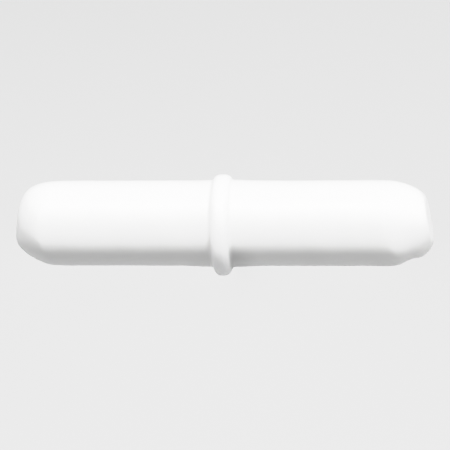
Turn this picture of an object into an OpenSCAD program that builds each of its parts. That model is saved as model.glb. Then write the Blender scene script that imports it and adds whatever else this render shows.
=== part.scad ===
// Magnetic stir bar: a rod magnet sealed in a one-piece fluoropolymer jacket
// with rounded ends and an integral pivot ring.
//
// Millimetres, +Z up. The bar lies along X. The origin is on the bar's axis,
// at the middle of the pivot ring.

/* [Body] */
// Length over both tips
bar_l = 40; // [34:1:60]
// Diameter of the straight part of the body
body_d = 8.2; // [7.6:0.1:9]
// How far the body swells in radius where it reaches the ring
flare_h = 0.1; // [0.05:0.01:0.15]
// Where the swelling starts, measured from the middle of the ring
flare_x = 4.6; // [3:0.1:6]

/* [Pivot ring] */
// Height of the ring above the body
ring_h = 0.85; // [0.8:0.05:1.3]
// Width of the ring
ring_w = 1.8; // [1.6:0.1:3]
// Rounding of the ring's crest on each side
crest_r = 0.7; // [0.5:0.05:0.75]
// Fillet between the ring and the body
root_r = 0.35; // [0.2:0.05:0.35]

/* [Ends] */
// Rounding of the corner at the -X end, as a radius
corner_left = 2.9; // [2.4:0.1:3.1]
// Rounding of the corner at the +X end, as a radius
corner_right = 3; // [2.4:0.1:3.1]
// Lean of the face at the -X end, in degrees off square
lean_left = 11; // [5:0.5:12]
// Lean of the face at the +X end, in degrees off square
lean_right = 10; // [5:0.5:12]
// Distance below the axis at which the round under each tip starts
tip_drop = 2; // [1.6:0.1:2.2]
// Extra radius of the round under the tip at the -X end
chin_left = 0.8; // [0.2:0.05:1]
// Extra radius of the round under the tip at the +X end
chin_right = 0.2; // [0.2:0.05:1]
// Turn of the tips about the axis, in degrees from straight down towards -Y
tip_turn = 40; // [0:5:90]

/* [Dent] */
// Distance of the dent's deepest point from the +X tip
dent_x = 2.4; // [2:0.1:2.6]
// Distance of the dent's deepest point from the bar's axis
dent_floor = 3.4; // [3.3:0.01:3.6]
// Radius of the dent's hollow
dent_r = 4.7; // [3.5:0.1:6]
// Slope of the bottom of the dent along the bar, in degrees
dent_slope = 20; // [15:1:25]

/* [Magnet] */
// Diameter of the rod magnet
magnet_d = 5; // [4:0.1:5.2]
// Length of the jacket's solid ends beyond the magnet
end_wall = 4; // [3.5:0.1:5]
// Chamfer on the magnet's edges
magnet_c = 0.3; // [0.2:0.05:0.5]

/* [Hidden] */
$fn = 96;
body_r = body_d / 2;
ring_r = body_r + ring_h;
flare_r = body_r + flare_h;
half_l = bar_l / 2;
crest_x = ring_w / 2 - crest_r;
root_c = flare_r + root_r;
root_x = crest_x + sqrt(pow(crest_r + root_r, 2) - pow(root_c - ring_r + crest_r, 2));
magnet_r = magnet_d / 2;
magnet_l = bar_l - 2 * end_wall;
far = 12;

// Half section of the pivot ring: [distance from the axis, place along the bar].
module ring_section() {
    translate([0, -crest_x]) square([ring_r, 2 * crest_x]);
    for (s = [-1, 1]) translate([ring_r - crest_r, s * crest_x]) circle(crest_r);
}

// Half section of one fillet, on the +X side of the ring. Its round is centred
// so that it touches both the crest's round and the swelling.
module root_section() {
    difference() {
        polygon([[ring_r - crest_r, crest_x], [root_c, root_x],
                 [flare_r - 0.2, root_x], [flare_r - 0.2, crest_x]]);
        translate([root_c, root_x]) circle(root_r);
    }
}

// The long body with its swelling and its ring, with square ends past the tips.
module blank() {
    rotate([0, 90, 0]) rotate_extrude() {
        polygon([[0, -half_l - 2], [body_r, -half_l - 2], [body_r, -flare_x],
                 [flare_r, -root_x], [flare_r, root_x],
                 [body_r, flare_x], [body_r, half_l + 2], [0, half_l + 2]]);
        ring_section();
        root_section();
        mirror([0, 1]) root_section();
    }
}

// Everything outside the rounded disc that forms the +X end. The disc is
// centred on the bar's axis and its own axis leans up by `lean`, so the lower
// part of its rounding reaches furthest, to half_l. Its rim stands just
// outside the body, so that the rounding cuts into the body and is not tangent
// to it.
module face_waste(corner_r, lean) {
    face_r = body_r + 0.11 - corner_r;
    back = corner_r + face_r * sin(lean);
    translate([half_l - back, 0, 0]) rotate([0, 90 - lean, 0])
        difference() {
            cylinder(r = far, h = far);
            rotate_extrude() {
                translate([0, -1]) square([face_r, corner_r + 1]);
                translate([0, -1]) square([face_r + corner_r, 1]);
                intersection() {
                    translate([face_r, 0]) circle(corner_r);
                    square(2 * corner_r + face_r);
                }
            }
        }
}

// Everything outside the ball that rounds the underside of the +X end. The ball
// passes through [half_l, -tip_drop] and clears the body's underside by a hair.
module chin_waste(chin) {
    ball_r = body_r + 0.05 + chin;
    back = sqrt(ball_r * ball_r - pow(chin + tip_drop, 2));
    translate([half_l - back, 0, chin]) rotate([0, 90, 0])
        difference() {
            cylinder(r = far, h = far);
            sphere(ball_r);
        }
}

module end_waste(corner_r, lean, chin) {
    face_waste(corner_r, lean);
    chin_waste(chin);
}

// The ball whose surface is the hollow of the dent, on the underside near the
// +X tip. Most of it lies outside the bar.
module dent_ball() {
    translate([half_l - dent_x + dent_r * sin(dent_slope), 0,
               -dent_floor - dent_r * cos(dent_slope)])
        sphere(dent_r);
}

// The rod magnet's own shape, which the jacket is moulded round.
module rod() {
    rotate([0, 90, 0]) rotate_extrude()
        polygon([[0, -magnet_l / 2], [magnet_r - magnet_c, -magnet_l / 2],
                 [magnet_r, -magnet_l / 2 + magnet_c],
                 [magnet_r, magnet_l / 2 - magnet_c],
                 [magnet_r - magnet_c, magnet_l / 2], [0, magnet_l / 2]]);
}

module jacket() {
    color("white") difference() {
        blank();
        rotate([-tip_turn, 0, 0]) {
            end_waste(corner_right, lean_right, chin_right);
            mirror([1, 0, 0]) end_waste(corner_left, lean_left, chin_left);
            dent_ball();
        }
        rod();
    }
}

module magnet() {
    color("dimgray") rod();
}

jacket();
magnet();
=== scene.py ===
import math

import bpy
import bmesh
import numpy as np
from mathutils import Matrix, Vector


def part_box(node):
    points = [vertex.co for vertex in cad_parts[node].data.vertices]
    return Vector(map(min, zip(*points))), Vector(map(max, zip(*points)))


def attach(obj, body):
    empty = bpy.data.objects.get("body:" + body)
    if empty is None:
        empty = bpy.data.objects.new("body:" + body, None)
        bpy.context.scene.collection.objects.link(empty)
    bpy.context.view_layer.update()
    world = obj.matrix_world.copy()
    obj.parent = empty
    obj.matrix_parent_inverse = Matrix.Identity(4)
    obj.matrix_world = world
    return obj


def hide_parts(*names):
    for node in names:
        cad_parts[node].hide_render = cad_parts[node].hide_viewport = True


# Magnetic stir bar. Millimetres in the shape functions, metres in Blender.
# The bar lies along X with the middle of its pivot ring at the origin.

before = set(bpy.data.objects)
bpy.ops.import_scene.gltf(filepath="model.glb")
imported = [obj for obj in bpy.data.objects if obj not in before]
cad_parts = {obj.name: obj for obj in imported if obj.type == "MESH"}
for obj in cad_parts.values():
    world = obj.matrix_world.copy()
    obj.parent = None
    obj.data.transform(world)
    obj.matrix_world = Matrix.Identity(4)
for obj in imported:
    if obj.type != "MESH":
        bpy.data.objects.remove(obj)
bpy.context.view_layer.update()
MM = 0.001

# ---------------------------------------------------------------- directions
VIEW_ELEVATION = math.radians(40.0)
VIEW_TURN = math.radians(5.17)
ALONG = np.array([1.0, 0.0, 0.0])
UP = np.array([0.0, math.sin(VIEW_ELEVATION), math.cos(VIEW_ELEVATION)])
FRONT = np.array([0.0, -math.cos(VIEW_ELEVATION), math.sin(VIEW_ELEVATION)])

# ---------------------------------------------------------------- the jacket's shape
BODY_R = 4.1177
AROUND = 192          # vertices round the bar
PATCH = AROUND // 4   # quads along one side of the square patch that closes a face
PATCH_SHARE = 0.6     # share of the face that the patch covers

# The two ends: where the face stands, how far it leans back at the top and at
# the front, how wide its flat is, how long its corner is and how full the
# corner is. The second number of a triple is what is added on the upper side
# (and taken off on the lower), the third what is added on the front only.
ENDS = {
    -1: {"face": 19.811, "lean": (0.14, -0.065), "flat": (1.85, 0.094, -0.65), "corner": (4.126, 0.069, -1.162), "power": (2.194, 0.714, -0.598)},
    1: {"face": 19.979, "lean": (0.16, 0.098), "flat": (1.95, 0.35, 0.8), "corner": (3.549, 0.19, 0.867), "power": (1.75, 0.141, -0.452)},
}
CROWN = 0.08          # how far the faces bulge
EDGE_SOFT = 16        # how much the edges of the corners are rounded

# Pivot ring: a rounded crest with a fillet on each side
RING_X = 0.055          # middle of the ring along the bar
RING_H = 0.691         # mean height above the body
RING_DROP = 0.158      # how far the ring's middle sits below the body's
RING_FLAT = 0.17      # half width of the flat of its crest
RING_CREST = 0.68     # rounding of its crest
RING_ROOT = 0.4      # fillets at its root
RING_LEAN = -0.03       # how far its front stands towards +X of its back, over two

# Dent under the +X end: where it is deepest along the bar and towards the front
DENT = {"x": 18.036, "deep": 0.499, "long": 0.949, "wide": 2.644, "front": -0.69}


def body_radius(x, c):
    """Radius of the long body at x; c is the cosine of the angle from UP."""
    near = np.clip(np.abs(x - RING_X) - 0.9, 0, None)
    swell = (0.075 - 0.03 * c) * np.exp(-((near / 2.0) ** 2))
    waist = -0.035 * np.exp(-(((x - 8.0) / 4.0) ** 2)) * (0.5 + 0.5 * c)
    return BODY_R + swell + waist


def end_surface(side, m, phi):
    """A point of an end: m runs 0 at the middle of the face, 1 at its edge, 2 where the body begins."""
    e = ENDS[side]
    c, f = np.cos(phi), np.sin(phi)
    front = np.clip(f, 0, None) ** 2
    flat, corner, power = (e[k][0] + e[k][1] * c + e[k][2] * front for k in ("flat", "corner", "power"))
    lean = math.tan(e["lean"][0]) * c + math.tan(e["lean"][1]) * f
    tau = np.clip(2 - m, 0, 1) * math.pi / 2
    bend = np.cos(tau) ** (2 / power)
    fall = 1 - np.sin(tau) ** (2 / power)
    start = e["face"] - lean * BODY_R - corner
    full = body_radius(side * start, c)
    r = np.where(m < 1, m * flat, flat + (full - flat) * bend)
    s = e["face"] - lean * r - CROWN * (r / BODY_R) ** 2 - np.where(m < 1, 0, corner * fall)
    return side * s, r


def softened(rows):
    """Rounds off the slight creases where a corner meets its face and the body. The first and last rows stay."""
    x, r = (np.array([row[k] for row in rows]) for k in (0, 1))
    for _ in range(EDGE_SOFT):
        for a in (x, r):
            a[1:-1] = 0.25 * a[:-2] + 0.5 * a[1:-1] + 0.25 * a[2:]
    return [(x[i], r[i], row[2]) for i, row in enumerate(rows)]


def ring_rows():
    """The ring's half section as (x, share of the ring's height), from its -X root to its +X root."""
    angle = math.acos(1 - RING_H / (RING_CREST + RING_ROOT))
    foot = RING_FLAT + (RING_CREST + RING_ROOT) * math.sin(angle)
    half = []
    for a in np.linspace(0, angle, 14)[:-1]:
        half.append((foot - RING_ROOT * math.sin(a), RING_ROOT * (1 - math.cos(a))))
    for a in np.linspace(angle, 0, 16):
        half.append((RING_FLAT + RING_CREST * math.sin(a), RING_H - RING_CREST * (1 - math.cos(a))))
    for t in np.linspace(1, 0, 4)[1:]:
        half.append((RING_FLAT * t, RING_H))
    left = [(RING_X - x, h / RING_H) for x, h in half]
    right = [(RING_X + x, h / RING_H) for x, h in half[:-1]][::-1]
    return left + right


def waviness(x, phi):
    """The slight unevenness of a moulded and sintered skin, in mm."""
    return (
        0.0060 * np.sin(0.83 * x + 2 * phi + 0.4)
        + 0.0045 * np.sin(-1.37 * x + 3 * phi + 1.9)
        + 0.0035 * np.sin(2.11 * x + phi + 4.1)
        + 0.0025 * np.sin(-0.59 * x + 5 * phi + 2.6)
    )


def in_space(x, r, phi, height=0.0):
    """Points from the unrolled skin: x along the bar, r from its axis, phi from UP round towards FRONT."""
    c, s = np.cos(phi), np.sin(phi)
    ring = height * (RING_H - RING_DROP * c)
    r = r + ring + waviness(x, phi) * np.clip(r / 2.0, 0, 1)
    v, w = r * c, r * s
    low = np.clip(-v / 2.0, 0, 1)
    v = v + low * DENT["deep"] * np.exp(-(((x - DENT["x"]) / DENT["long"]) ** 2) - ((w - DENT["front"]) / DENT["wide"]) ** 2)
    return (np.multiply.outer(x, ALONG) + np.multiply.outer(v, UP) + np.multiply.outer(w, FRONT)).reshape(-1, 3)


def jacket_skin():
    """Vertices and quads of the jacket's outside."""
    phi = np.arange(AROUND) * 2 * math.pi / AROUND
    rows = []     # (x, r, ring height share) each AROUND long, from -X to +X
    zero = np.zeros(AROUND)

    def end(side):
        out = []
        for m in list(np.linspace(PATCH_SHARE, 1, 8)[:-1]) + list(1 + np.linspace(0, 1, 44)):
            x, r = end_surface(side, np.full(AROUND, m), phi)
            out.append((x, r, zero))
        return out

    left, right = end(-1), end(1)[::-1]
    ring = ring_rows()
    rows += left
    for t in np.linspace(0, 1, 48)[1:]:
        t = t + 0.10 * math.sin(math.pi * t)
        x = left[-1][0] * (1 - t) + (ring[0][0] + RING_LEAN * np.sin(phi)) * t
        rows.append((x, body_radius(x, np.cos(phi)), zero))
    rows = rows[:-1]
    for x, h in ring:
        x = x + RING_LEAN * np.sin(phi)
        rows.append((x, body_radius(x, np.cos(phi)), np.full(AROUND, h)))
    for t in np.linspace(1, 0, 48)[1:-1]:
        t = t + 0.10 * math.sin(math.pi * t)
        x = right[0][0] * (1 - t) + (ring[-1][0] + RING_LEAN * np.sin(phi)) * t
        rows.append((x, body_radius(x, np.cos(phi)), zero))
    rows += right
    many = len(left) + 8
    rows = softened(rows[:many]) + rows[many:-many] + softened(rows[-many:])

    points = [in_space(x, r, phi, h) for x, r, h in rows]
    faces = []
    k = np.arange(AROUND)
    for i in range(len(rows) - 1):
        a, b = i * AROUND, (i + 1) * AROUND
        faces.append(np.stack([a + k, a + (k + 1) % AROUND, b + (k + 1) % AROUND, b + k], 1))
    count = len(rows) * AROUND

    for side, first in ((-1, 0), (1, (len(rows) - 1) * AROUND)):
        index = np.zeros((PATCH + 1, PATCH + 1), int)
        inner_m, inner_phi = [], []
        for i in range(PATCH + 1):
            for j in range(PATCH + 1):
                a, b = 2 * i / PATCH - 1, 2 * j / PATCH - 1
                if abs(a) > abs(b):
                    rho, turn = a, math.pi / 4 * b / a
                elif b != 0:
                    rho, turn = b, math.pi / 2 - math.pi / 4 * a / b
                else:
                    rho, turn = 0.0, 0.0
                if rho < 0:
                    rho, turn = -rho, turn + math.pi
                if i in (0, PATCH) or j in (0, PATCH):
                    index[i, j] = first + round(turn / (2 * math.pi) * AROUND) % AROUND
                else:
                    index[i, j] = count + len(inner_m)
                    inner_m.append(rho * PATCH_SHARE)
                    inner_phi.append(turn)
        m, turn = np.array(inner_m), np.array(inner_phi)
        x, r = end_surface(side, m, turn)
        points.append(in_space(x, r, turn))
        count += len(m)
        quads = np.stack([index[:-1, :-1], index[1:, :-1], index[1:, 1:], index[:-1, 1:]], 2).reshape(-1, 4)
        faces.append(quads)
    return np.concatenate(points), np.concatenate(faces)


def skin_object(name):
    points, quads = jacket_skin()
    mesh = bpy.data.meshes.new(name)
    mesh.from_pydata((points * MM).tolist(), [], quads.tolist())
    bm = bmesh.new()
    bm.from_mesh(mesh)

    # The sealed pocket that holds the magnet is the CAD jacket's own inner skin.
    cad = bmesh.new()
    cad.from_mesh(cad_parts["jacket"].data)
    bmesh.ops.remove_doubles(cad, verts=cad.verts, dist=1e-7)
    lo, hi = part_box("magnet")
    reach = max(hi.y, hi.z) * 1.01
    pocket = [f for f in cad.faces if all(math.hypot(v.co.y, v.co.z) < reach and abs(v.co.x) < hi.x * 1.001 for v in f.verts)]
    bmesh.ops.recalc_face_normals(bm, faces=bm.faces)
    made = {}
    for f in pocket:
        corners = []
        for v in f.verts:
            if v.index not in made:
                made[v.index] = bm.verts.new(v.co)
            corners.append(made[v.index])
        bm.faces.new(corners).smooth = False
    cad.free()
    bm.to_mesh(mesh)
    bm.free()
    smooth = np.zeros(len(mesh.polygons), bool)
    smooth[: len(quads)] = True
    mesh.polygons.foreach_set("use_smooth", smooth)
    mesh.update()
    o = bpy.data.objects.new(name, mesh)
    bpy.context.scene.collection.objects.link(o)
    return o


# ---------------------------------------------------------------- materials
def new_material(name):
    m = bpy.data.materials.new(name)
    m.use_nodes = True
    nt = m.node_tree
    shader = next(n for n in nt.nodes if n.type == "BSDF_PRINCIPLED")
    return m, nt, shader


def node(nt, kind, **settings):
    n = nt.nodes.new(kind)
    for key, value in settings.items():
        if hasattr(n, key):
            setattr(n, key, value)
        else:
            n.inputs[key.replace("_", " ")].default_value = value
    return n


def link(nt, a, out, b, into):
    nt.links.new(a.outputs[out], b.inputs[into])


def millimetres(nt):
    """Object coordinates in millimetres."""
    place = node(nt, "ShaderNodeTexCoord")
    scale = node(nt, "ShaderNodeVectorMath", operation="SCALE")
    scale.inputs["Scale"].default_value = 1000.0
    link(nt, place, "Object", scale, 0)
    return scale


def noise(nt, where, scale, detail, rough=0.5, distortion=0.0):
    n = node(nt, "ShaderNodeTexNoise")
    n.inputs["Scale"].default_value = scale
    n.inputs["Detail"].default_value = detail
    n.inputs["Roughness"].default_value = rough
    n.inputs["Distortion"].default_value = distortion
    link(nt, where, 0, n, "Vector")
    return n


def ranged(nt, src, out, lo, hi, to_lo, to_hi, smooth=False):
    n = node(nt, "ShaderNodeMapRange")
    if smooth:
        n.interpolation_type = "SMOOTHSTEP"
    n.inputs["From Min"].default_value = lo
    n.inputs["From Max"].default_value = hi
    n.inputs["To Min"].default_value = to_lo
    n.inputs["To Max"].default_value = to_hi
    link(nt, src, out, n, "Value")
    return n


def math_node(nt, op, a, b=None):
    n = node(nt, "ShaderNodeMath", operation=op)
    for i, v in enumerate((a, b)):
        if v is None:
            continue
        if isinstance(v, (int, float)):
            n.inputs[i].default_value = v
        else:
            nt.links.new(v, n.inputs[i])
    return n


# How far light travels inside the skin (mm), and how much of it does.
SPREAD_WALL, SPREAD_SOLID = 0.433, 2.331
SHARE_WALL, SHARE_SOLID = 0.7, 1.0
TIP_SOLID = 0.129       # the solid ends' share of what the ring has
TIP_FROM, TIP_TO = 15.54, 18.06     # where the wall over the magnet turns into a solid end
WALL_WHITE = 0.8914     # share of light that the wall and the solid parts send back
SOLID_WHITE = 0.99
FILLET_SHADE, FILLET_SHADE_REACH = 0.023, 2.75      # painted shade darkening the fillets beside the ring, and how far along the bar it fades out
UNDER_SHADE = 0.246            # more painted shade below, on the ring's +X side
END_FACE_SHADE = {-1: 0.07, 1: 0.03}   # painted shade on each end face and its rim, stronger on the -X end


def fluoropolymer():
    m, nt, s = new_material("ptfe_moulded")
    where = millimetres(nt)

    # How far from the bar's axis: the ring and the solid ends have no magnet
    # behind them and are a little whiter than the wall over the magnet.
    split = node(nt, "ShaderNodeSeparateXYZ")
    link(nt, where, 0, split, 0)
    y2 = math_node(nt, "MULTIPLY", split.outputs["Y"], split.outputs["Y"])
    z2 = math_node(nt, "MULTIPLY", split.outputs["Z"], split.outputs["Z"])
    r = math_node(nt, "SQRT", math_node(nt, "ADD", y2.outputs[0], z2.outputs[0]).outputs[0])
    ring = ranged(nt, r, 0, 4.25, 4.6, 0.0, 1.0, True)
    reach = math_node(nt, "ABSOLUTE", split.outputs["X"])
    tip = ranged(nt, reach, 0, TIP_FROM, TIP_TO, 0.0, TIP_SOLID, True)
    solid = math_node(nt, "MAXIMUM", ring.outputs[0], tip.outputs[0])

    cloud = noise(nt, where, 0.35, 3.0, 0.55)
    grain = noise(nt, where, 5.0, 4.0, 0.6)
    tone = ranged(nt, cloud, "Fac", 0.3, 0.7, 0.0, 0.6)
    fine = ranged(nt, grain, "Fac", 0.3, 0.7, 0.0, 0.4)
    both = math_node(nt, "ADD", tone.outputs[0], fine.outputs[0])
    wall = node(nt, "ShaderNodeMix", data_type="RGBA")
    wall.inputs["A"].default_value = (WALL_WHITE - 0.015, WALL_WHITE - 0.015, WALL_WHITE - 0.020, 1)
    wall.inputs["B"].default_value = (WALL_WHITE + 0.015, WALL_WHITE + 0.015, WALL_WHITE + 0.012, 1)
    nt.links.new(both.outputs[0], wall.inputs["Factor"])
    thick = node(nt, "ShaderNodeMix", data_type="RGBA")
    thick.inputs["A"].default_value = (SOLID_WHITE - 0.008, SOLID_WHITE - 0.008, SOLID_WHITE - 0.011, 1)
    thick.inputs["B"].default_value = (SOLID_WHITE + 0.008, SOLID_WHITE + 0.008, SOLID_WHITE + 0.006, 1)
    nt.links.new(both.outputs[0], thick.inputs["Factor"])
    colour = node(nt, "ShaderNodeMix", data_type="RGBA")
    nt.links.new(solid.outputs[0], colour.inputs["Factor"])
    nt.links.new(wall.outputs["Result"], colour.inputs["A"])
    nt.links.new(thick.outputs["Result"], colour.inputs["B"])
    # Painted shade: the fillets beside the ring are darkened, more so on the underside on the ring's +X side.
    from_ring = math_node(nt, "ABSOLUTE", math_node(nt, "SUBTRACT", split.outputs["X"], RING_X).outputs[0])
    beside = ranged(nt, from_ring, 0, 1.0, 1.1 + FILLET_SHADE_REACH, 1.0, 0.0, True)
    low = ranged(nt, ring, 0, 0.0, 1.0, 1.0, 0.0)
    uneven = ranged(nt, cloud, "Fac", 0.3, 0.7, 0.8, 1.2)
    fillet_shade = math_node(nt, "MULTIPLY", math_node(nt, "MULTIPLY", beside.outputs[0], low.outputs[0]).outputs[0], uneven.outputs[0])
    above = node(nt, "ShaderNodeVectorMath", operation="DOT_PRODUCT")
    above.inputs[1].default_value = tuple(UP)
    link(nt, where, 0, above, 0)
    below = ranged(nt, above, "Value", -3.2, -1.6, 1.0, 0.0, True)
    right = ranged(nt, split, "X", RING_X, RING_X + 1.0, 0.0, 1.0, True)
    corner = math_node(nt, "MULTIPLY", below.outputs[0], right.outputs[0])
    amount = ranged(nt, corner, 0, 0.0, 1.0, FILLET_SHADE, FILLET_SHADE + UNDER_SHADE)
    share = math_node(nt, "MULTIPLY", fillet_shade.outputs[0], amount.outputs[0])
    # Painted shade is also put on the end faces, fading out just behind each face.
    for side, e in ENDS.items():
        plane = node(nt, "ShaderNodeVectorMath", operation="DOT_PRODUCT")
        plane.inputs[1].default_value = tuple(-side * ALONG - math.tan(e["lean"][0]) * UP - math.tan(e["lean"][1]) * FRONT)
        link(nt, where, 0, plane, 0)
        face_shade_ramp = ranged(nt, plane, "Value", 0.12 - e["face"], 0.55 - e["face"], END_FACE_SHADE[side], 0.0, True)
        patchy_face_shade = math_node(nt, "MULTIPLY", face_shade_ramp.outputs[0], uneven.outputs[0])
        share = math_node(nt, "ADD", share.outputs[0], patchy_face_shade.outputs[0])
    greyed = node(nt, "ShaderNodeMix", data_type="RGBA", blend_type="MULTIPLY")
    greyed.inputs["B"].default_value = (0.0, 0.0, 0.0, 1)
    nt.links.new(share.outputs[0], greyed.inputs["Factor"])
    nt.links.new(colour.outputs["Result"], greyed.inputs["A"])
    nt.links.new(greyed.outputs["Result"], s.inputs["Base Color"])

    rough = ranged(nt, noise(nt, where, 0.9, 3.0), "Fac", 0.3, 0.7, 0.34, 0.44)
    nt.links.new(rough.outputs[0], s.inputs["Roughness"])

    # Very fine lathe lines round the bar and the grain of sintered powder.
    waves = node(nt, "ShaderNodeTexWave", wave_type="BANDS", bands_direction="X", wave_profile="SIN")
    waves.inputs["Scale"].default_value = 1.6
    waves.inputs["Distortion"].default_value = 1.2
    waves.inputs["Detail"].default_value = 2.0
    waves.inputs["Detail Scale"].default_value = 0.6
    link(nt, where, 0, waves, "Vector")
    lines = math_node(nt, "MULTIPLY", waves.outputs["Fac"], 0.35)
    speck = math_node(nt, "MULTIPLY", noise(nt, where, 9.0, 3.0, 0.6).outputs["Fac"], 0.65)
    height = math_node(nt, "ADD", lines.outputs[0], speck.outputs[0])
    bump = node(nt, "ShaderNodeBump")
    bump.inputs["Strength"].default_value = 0.5
    bump.inputs["Distance"].default_value = 0.003 * MM
    nt.links.new(height.outputs[0], bump.inputs["Height"])
    nt.links.new(bump.outputs[0], s.inputs["Normal"])

    s.inputs["IOR"].default_value = 1.36
    # Light spreads a little way through the thin wall over the magnet and a
    # long way through the solid ring and the solid ends.
    spread = ranged(nt, solid, 0, 0.0, 1.0, SPREAD_WALL * MM, SPREAD_SOLID * MM)
    share = ranged(nt, solid, 0, 0.0, 1.0, SHARE_WALL, SHARE_SOLID)
    nt.links.new(spread.outputs[0], s.inputs["Subsurface Scale"])
    nt.links.new(share.outputs[0], s.inputs["Subsurface Weight"])
    s.inputs["Subsurface Radius"].default_value = (1.0, 1.0, 0.97)
    return m


def magnet_metal():
    m, nt, s = new_material("magnet_alloy_cast")
    where = millimetres(nt)
    grain = noise(nt, where, 2.2, 6.0, 0.65)
    mix = node(nt, "ShaderNodeMix", data_type="RGBA")
    mix.inputs["A"].default_value = (0.16, 0.16, 0.165, 1)
    mix.inputs["B"].default_value = (0.30, 0.30, 0.305, 1)
    tone = ranged(nt, grain, "Fac", 0.3, 0.7, 0.0, 1.0)
    nt.links.new(tone.outputs[0], mix.inputs["Factor"])
    nt.links.new(mix.outputs["Result"], s.inputs["Base Color"])
    rough = ranged(nt, noise(nt, where, 4.0, 4.0), "Fac", 0.3, 0.7, 0.42, 0.62)
    nt.links.new(rough.outputs[0], s.inputs["Roughness"])
    bump = node(nt, "ShaderNodeBump")
    bump.inputs["Strength"].default_value = 0.6
    bump.inputs["Distance"].default_value = 0.02 * MM
    nt.links.new(noise(nt, where, 7.0, 5.0, 0.7).outputs["Fac"], bump.inputs["Height"])
    nt.links.new(bump.outputs[0], s.inputs["Normal"])
    s.inputs["Metallic"].default_value = 0.9
    return m


def pale_floor():
    m, nt, s = new_material("floor_pale")
    where = millimetres(nt)
    mix = node(nt, "ShaderNodeMix", data_type="RGBA")
    mix.inputs["A"].default_value = (0.594, 0.594, 0.594, 1)
    mix.inputs["B"].default_value = (0.606, 0.606, 0.606, 1)
    nt.links.new(noise(nt, where, 0.02, 2.0).outputs["Fac"], mix.inputs["Factor"])
    nt.links.new(mix.outputs["Result"], s.inputs["Base Color"])
    s.inputs["Roughness"].default_value = 0.9
    s.inputs["Specular IOR Level"].default_value = 0.1
    return m


# ---------------------------------------------------------------- pieces
jacket = skin_object("jacket_ptfe")
jacket.data.materials.append(fluoropolymer())
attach(jacket, "root")
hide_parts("jacket")

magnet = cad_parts["magnet"]
alloy = magnet_metal()
for slot in magnet.material_slots:
    slot.material = alloy
if not magnet.material_slots:
    magnet.data.materials.append(alloy)

# ---------------------------------------------------------------- floor and light
FLOOR_Z = min(v.co.z for v in jacket.data.vertices) - 0.01 * MM
mesh = bpy.data.meshes.new("floor")
half = 1.5
mesh.from_pydata([(-half, -half, FLOOR_Z), (half, -half, FLOOR_Z), (half, half, FLOOR_Z), (-half, half, FLOOR_Z)], [], [(0, 1, 2, 3)])
floor = bpy.data.objects.new("floor", mesh)
bpy.context.scene.collection.objects.link(floor)
floor.data.materials.append(pale_floor())
# The floor is far brighter than what lights the bar's underside, so the bar
# sees it only in its reflections.
floor.visible_diffuse = False
floor.visible_shadow = False

view_from = math.cos(VIEW_TURN) * FRONT + math.sin(VIEW_TURN) * ALONG
view_right = math.cos(VIEW_TURN) * ALONG - math.sin(VIEW_TURN) * FRONT


def area_light(name, above, right, distance, size, watts, wide=0.0):
    """A soft lamp: degrees above and to the right of the line of sight, aimed at the bar. With `wide` it's a strip along the bar."""
    a, b = math.radians(above), math.radians(right)
    way = math.cos(b) * (math.cos(a) * view_from + math.sin(a) * UP) + math.sin(b) * view_right
    lamp = bpy.data.lights.new(name, "AREA")
    lamp.shape = "RECTANGLE" if wide else "DISK"
    lamp.size = wide or size
    if wide:
        lamp.size_y = size
    lamp.energy = watts
    o = bpy.data.objects.new(name, lamp)
    o.location = Vector(way * distance)
    face = Vector(way)
    across = (Vector(ALONG) - Vector(ALONG).dot(face) * face).normalized()
    up = face.cross(across)
    o.rotation_mode = "QUATERNION"
    o.rotation_quaternion = Matrix((across, up, face)).transposed().to_quaternion()
    bpy.context.scene.collection.objects.link(o)
    return o


def group(name, *members):
    """A collection that only tells a lamp what it lights or what shades it."""
    g = bpy.data.collections.new(name)
    for o in members:
        g.objects.link(o)
    return g


bar = group("lit_bar", jacket, magnet)
ground = group("lit_floor", floor)

KEY = {"above": 45.42, "right": 5.4, "distance": 0.9, "size": 0.184, "wide": 0.741, "watts": 6.366}
SIDE = {"above": 0.0, "right": 70.0, "distance": 0.25, "size": 0.20, "watts": 0.0771}
WASH = {"above": 20, "right": 0, "distance": 0.6, "size": 0.3, "watts": 1.849}
FILL = 0.1799
# How the fill changes with direction: more from both ends of the bar, from its
# +X end, from above and from the camera's side
FILL_SIDES, FILL_RIGHT, FILL_UP, FILL_FRONT = -0.329, -0.392, -0.162, -0.058

key = area_light("key", **KEY)
key.light_linking.receiver_collection = bar
side = area_light("side", **SIDE)
side.light_linking.receiver_collection = bar
wash = area_light("floor_wash", **WASH)
wash.light_linking.receiver_collection = ground
wash.light_linking.blocker_collection = ground

world = bpy.data.worlds.new("studio")
bpy.context.scene.world = world
world.use_nodes = True
sky = world.node_tree
background = sky.nodes["Background"]
background.inputs["Color"].default_value = (1, 1, 1, 1)
way = sky.nodes.new("ShaderNodeTexCoord")


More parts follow.
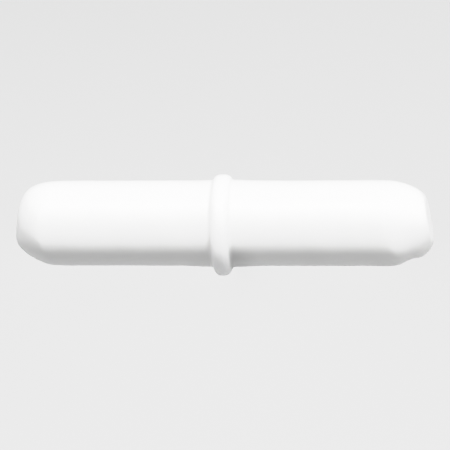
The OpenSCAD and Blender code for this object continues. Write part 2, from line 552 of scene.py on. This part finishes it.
def towards(axis):
    """Cosine of the angle between a direction of the sky and an axis."""
    n = sky.nodes.new("ShaderNodeVectorMath")
    n.operation = "DOT_PRODUCT"
    n.inputs[1].default_value = tuple(axis)
    sky.links.new(way.outputs["Generated"], n.inputs[0])
    return n.outputs["Value"]


ends = towards(ALONG)
level = math_node(sky, "MULTIPLY_ADD", ends, FILL_RIGHT)
level.inputs[2].default_value = 1.0
square = math_node(sky, "MULTIPLY", ends, ends)
for value, share in ((square.outputs[0], FILL_SIDES), (towards(UP), FILL_UP), (towards(FRONT), FILL_FRONT)):
    more = math_node(sky, "MULTIPLY_ADD", value, share)
    sky.links.new(level.outputs[0], more.inputs[2])
    level = more
strength = math_node(sky, "MULTIPLY", math_node(sky, "MAXIMUM", level.outputs[0], 0.0).outputs[0], FILL)
sky.links.new(strength.outputs[0], background.inputs["Strength"])

# ---------------------------------------------------------------- camera
DISTANCE = 0.180
PX_PER_MM = 10.36                 # of a 450-pixel frame, at the bar
LENS = PX_PER_MM * DISTANCE * 1000 / 12.5
aim = (view_right * (2.364 / PX_PER_MM) - UP * (1.873 / PX_PER_MM)) * MM
camera = bpy.data.cameras.new("camera")
camera.lens = LENS
camera.sensor_width = 36.0
camera.clip_start = 0.01
camera.clip_end = 20.0
cam = bpy.data.objects.new("camera", camera)
m = Matrix.Identity(4)
for i, axis in enumerate((view_right, UP, view_from)):
    for j in range(3):
        m[j][i] = axis[j]
m.translation = Vector(aim + view_from * DISTANCE)
cam.matrix_world = m
bpy.context.scene.collection.objects.link(cam)
bpy.context.scene.camera = cam

# ---------------------------------------------------------------- the camera's response
colours = bpy.context.scene.view_settings
colours.view_transform = "Standard"
colours.look = "None"
colours.use_curve_mapping = True
response = colours.curve_mapping
response.extend = "HORIZONTAL"
toe_to_shoulder = [(0.0, 0.0), (0.18, 0.45), (0.28, 0.71), (0.34, 0.82), (0.42, 0.868), (0.55, 0.91), (0.70, 0.965), (1.0, 1.0)]
curve = response.curves[3]
curve.points[0].location = toe_to_shoulder[0]
curve.points[1].location = toe_to_shoulder[-1]
for x, y in toe_to_shoulder[1:-1]:
    curve.points.new(x, y)
for p in curve.points:
    p.handle_type = "AUTO_CLAMPED"
response.update()
